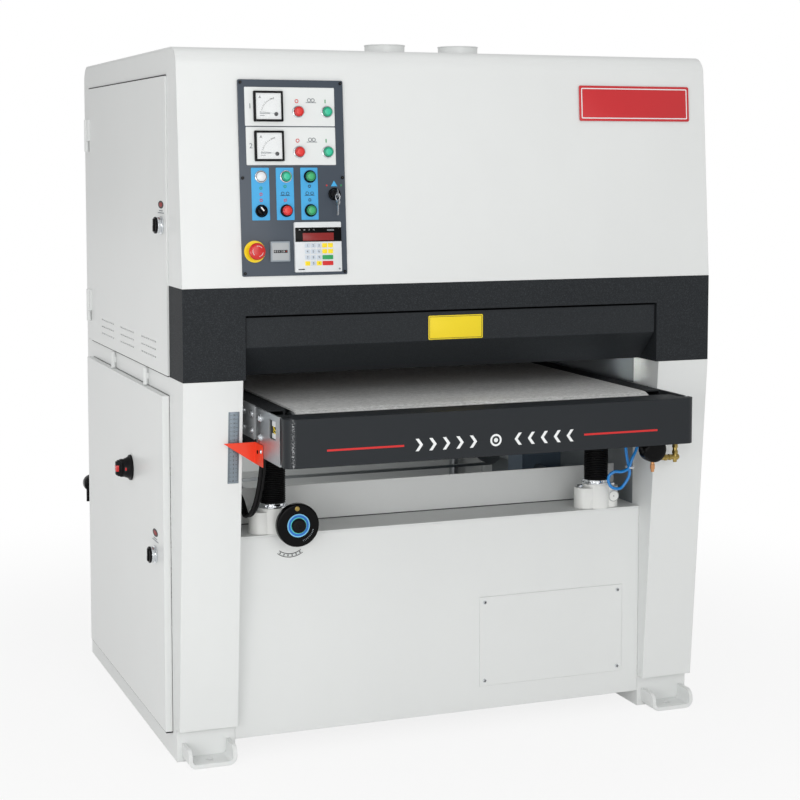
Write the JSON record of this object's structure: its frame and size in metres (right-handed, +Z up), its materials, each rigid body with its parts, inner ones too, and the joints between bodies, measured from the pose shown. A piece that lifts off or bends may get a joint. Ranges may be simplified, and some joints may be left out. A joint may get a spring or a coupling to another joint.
{
  "type": "wide belt sander",
  "caption": "Floor-standing wide belt sander with a rising conveyor table, sanding heads under a hood, control panel, stop bar, doors and dust ports.",
  "frame": {"origin": "on the floor, at the middle of the four foot bolt holes", "axes": "+Z up, +X to the operator's right, -Y towards the operator at the infeed side"},
  "size_m": [1.4713, 1.6105, 1.7433],
  "materials": {
    "white_paint": "satin powder coat",
    "dark_paint": "fine wrinkle coat",
    "head_paint": "satin paint",
    "casting": "glossy off-white paint",
    "panel_plate": "printed plate",
    "black_plastic": "matt",
    "grit": "grit-coated cloth",
    "motor_paint": "satin paint",
    "belt_rubber": "matt",
    "feed_rubber": "rough-top rubber",
    "steel": "machined",
    "zinc": "zinc plated",
    "chrome": "polished",
    "grey_plastic": "matt",
    "blue_tube": "smooth",
    "signal_orange": "satin",
    "red_plastic": "gloss",
    "green_plastic": "gloss"
  },
  "bodies": {
    "frame": {"base_frame": "white_paint", "base_panels": "white_paint", "post_covers": "white_paint", "foot_lugs": "white_paint", "head_frame": "head_paint", "hood": "white_paint", "dust_ports": "white_paint", "front_band": "dark_paint", "infeed_guard": "dark_paint", "drive_cover": "white_paint", "control_panel": "panel_plate", "panel_instruments": "black_plastic", "jack_housings": "casting", "abrasive_belts": "grit", "motors": "motor_paint", "drive_belts": "belt_rubber", "air_filter": "black_plastic", "fasteners": "steel", "electrics": "grey_plastic", "lift_chain": "steel"},
    "table": {"table_bed": "dark_paint", "feed_belt": "feed_rubber", "lift_screws": "steel", "bellows": "belt_rubber", "height_pointer": "signal_orange", "feed_motor": "motor_paint", "table_cables": "belt_rubber", "bar_brackets": "zinc", "air_regulator": "black_plastic", "air_tube": "blue_tube"},
    "stop_bar": {"stop_bar": "dark_paint"},
    "drive_roller": {"drive_roller": "steel"},
    "tail_roller": {"tail_roller": "steel"},
    "left_lift": {"left_lift_shaft": "steel", "handwheel": "black_plastic"},
    "right_lift": {"right_lift_shaft": "steel"},
    "front_drum": {"front_drum": "steel"},
    "rear_drum": {"rear_drum": "steel"},
    "front_tension_roller": {"front_tension_roller": "steel"},
    "rear_tension_roller": {"rear_tension_roller": "steel"},
    "front_yoke": {"front_yoke": "head_paint"},
    "rear_yoke": {"rear_yoke": "head_paint"},
    "front_motor_pulley": {"front_motor_pulley": "steel"},
    "rear_motor_pulley": {"rear_motor_pulley": "steel"},
    "upper_door": {"upper_door": "white_paint"},
    "lower_door": {"lower_door": "white_paint"},
    "upper_lock": {"upper_lock": "chrome"},
    "lower_lock": {"lower_lock": "chrome"},
    "main_switch": {"main_switch": "black_plastic"},
    "mushroom": {"mushroom": "red_plastic"},
    "selector": {"selector": "black_plastic"},
    "panel_key": {"panel_key": "steel"},
    "head_one_stop": {"head_one_stop": "red_plastic"},
    "head_one_start": {"head_one_start": "green_plastic"},
    "head_two_stop": {"head_two_stop": "red_plastic"},
    "head_two_start": {"head_two_start": "green_plastic"},
    "feed_start": {"feed_start": "green_plastic"},
    "feed_stop": {"feed_stop": "red_plastic"},
    "table_up": {"table_up": "green_plastic"},
    "table_down": {"table_down": "green_plastic"}
  },
  "joints": [
    {"name": "table_lift", "type": "slide", "parent": "frame", "child": "table", "axis": [0, 0, 1], "range_m": [-0.09, 0.058], "deforming": ["bellows", "table_cables"]},
    {"name": "stop_bar_push", "type": "slide", "parent": "table", "child": "stop_bar", "axis": [0, 1, 0], "range_m": [0, 0.01], "stiffness_N_per_m": 3000},
    {"name": "feed_drive_spin", "type": "hinge", "parent": "table", "child": "drive_roller", "pos_m": [0, 0.703, 0.8242], "axis": [1, 0, 0], "continuous": true},
    {"name": "feed_tail_spin", "type": "hinge", "parent": "table", "child": "tail_roller", "pos_m": [0, -0.703, 0.8242], "axis": [1, 0, 0], "continuous": true},
    {"name": "handwheel_turn", "type": "hinge", "parent": "frame", "child": "left_lift", "pos_m": [-0.409, -0.4825, 0.571], "axis": [0, 1, 0], "range_deg": [-5410, 3490]},
    {"name": "right_lift_turn", "type": "hinge", "parent": "frame", "child": "right_lift", "pos_m": [0.481, -0.4825, 0.571], "axis": [0, 1, 0], "range_deg": [-5410, 3490]},
    {"name": "front_drum_spin", "type": "hinge", "parent": "frame", "child": "front_drum", "pos_m": [0, -0.2285, 1.0088], "axis": [1, 0, 0], "continuous": true},
    {"name": "front_belt_tension", "type": "slide", "parent": "frame", "child": "front_yoke", "axis": [0, 0, 1], "range_m": [-0.02, 0], "stiffness_N_per_m": 40000, "springref_m": 0.03},
    {"name": "front_tension_spin", "type": "hinge", "parent": "front_yoke", "child": "front_tension_roller", "pos_m": [0, -0.2285, 1.5788], "axis": [1, 0, 0], "continuous": true},
    {"name": "front_motor_spin", "type": "hinge", "parent": "frame", "child": "front_motor_pulley", "pos_m": [0.615, -0.2285, 0.2313], "axis": [1, 0, 0], "continuous": true},
    {"name": "rear_drum_spin", "type": "hinge", "parent": "frame", "child": "rear_drum", "pos_m": [0, 0.1565, 1.0088], "axis": [1, 0, 0], "continuous": true},
    {"name": "rear_belt_tension", "type": "slide", "parent": "frame", "child": "rear_yoke", "axis": [0, 0, 1], "range_m": [-0.02, 0], "stiffness_N_per_m": 40000, "springref_m": 0.03},
    {"name": "rear_tension_spin", "type": "hinge", "parent": "rear_yoke", "child": "rear_tension_roller", "pos_m": [0, 0.1565, 1.5788], "axis": [1, 0, 0], "continuous": true},
    {"name": "rear_motor_spin", "type": "hinge", "parent": "frame", "child": "rear_motor_pulley", "pos_m": [0.615, 0.1565, 0.2313], "axis": [1, 0, 0], "continuous": true},
    {"name": "upper_door_swing", "type": "hinge", "parent": "frame", "child": "upper_door", "pos_m": [-0.709, 0.4465, 1.3], "axis": [0, 0, -1], "range_deg": [0, 110]},
    {"name": "lower_door_swing", "type": "hinge", "parent": "frame", "child": "lower_door", "pos_m": [-0.709, 0.4465, 0.47], "axis": [0, 0, -1], "range_deg": [0, 110]},
    {"name": "upper_lock_turn", "type": "hinge", "parent": "upper_door", "child": "upper_lock", "pos_m": [-0.71, -0.4345, 1.297], "axis": [-1, 0, 0], "range_deg": [0, 90]},
    {"name": "lower_lock_turn", "type": "hinge", "parent": "lower_door", "child": "lower_lock", "pos_m": [-0.724, -0.3935, 0.487], "axis": [-1, 0, 0], "range_deg": [0, 90]},
    {"name": "main_switch_turn", "type": "hinge", "parent": "lower_door", "child": "main_switch", "pos_m": [-0.73, -0.1255, 0.659], "axis": [-1, 0, 0], "range_deg": [0, 90]},
    {"name": "mushroom_push", "type": "slide", "parent": "frame", "child": "mushroom", "axis": [0, 0.9974, -0.0726], "range_m": [0, 0.004]},
    {"name": "selector_turn", "type": "hinge", "parent": "frame", "child": "selector", "pos_m": [-0.50437, -0.60783, 1.33382], "axis": [0, -0.9974, 0.0726], "range_deg": [-45, 45]},
    {"name": "key_turn", "type": "hinge", "parent": "frame", "child": "panel_key", "pos_m": [-0.32219, -0.60304, 1.372], "axis": [0, -0.9974, 0.0726], "range_deg": [0, 90]},
    {"name": "head_one_stop_push", "type": "slide", "parent": "frame", "child": "head_one_stop", "axis": [0, 0.9974, -0.0726], "range_m": [0, 0.004], "stiffness_N_per_m": 600},
    {"name": "head_one_start_push", "type": "slide", "parent": "frame", "child": "head_one_start", "axis": [0, 0.9974, -0.0726], "range_m": [0, 0.004], "stiffness_N_per_m": 600},
    {"name": "head_two_stop_push", "type": "slide", "parent": "frame", "child": "head_two_stop", "axis": [0, 0.9974, -0.0726], "range_m": [0, 0.004], "stiffness_N_per_m": 600},
    {"name": "head_two_start_push", "type": "slide", "parent": "frame", "child": "head_two_start", "axis": [0, 0.9974, -0.0726], "range_m": [0, 0.004], "stiffness_N_per_m": 600},
    {"name": "feed_start_push", "type": "slide", "parent": "frame", "child": "feed_start", "axis": [0, 0.9974, -0.0726], "range_m": [0, 0.004], "stiffness_N_per_m": 600},
    {"name": "feed_stop_push", "type": "slide", "parent": "frame", "child": "feed_stop", "axis": [0, 0.9974, -0.0726], "range_m": [0, 0.004], "stiffness_N_per_m": 600},
    {"name": "table_up_push", "type": "slide", "parent": "frame", "child": "table_up", "axis": [0, 0.9974, -0.0726], "range_m": [0, 0.004], "stiffness_N_per_m": 600},
    {"name": "table_down_push", "type": "slide", "parent": "frame", "child": "table_down", "axis": [0, 0.9974, -0.0726], "range_m": [0, 0.004], "stiffness_N_per_m": 600}
  ],
  "couplings": [
    {"joint": "handwheel_turn", "follows": "table_lift", "rad_per_m": 1047.2},
    {"joint": "right_lift_turn", "follows": "table_lift", "rad_per_m": 1047.2},
    {"joint": "feed_tail_spin", "follows": "feed_drive_spin", "ratio": 1},
    {"joint": "front_tension_spin", "follows": "front_drum_spin", "ratio": 1.4},
    {"joint": "front_motor_spin", "follows": "front_drum_spin", "ratio": 0.69333},
    {"joint": "rear_tension_spin", "follows": "rear_drum_spin", "ratio": 1.4},
    {"joint": "rear_motor_spin", "follows": "rear_drum_spin", "ratio": 0.69333}
  ]
}
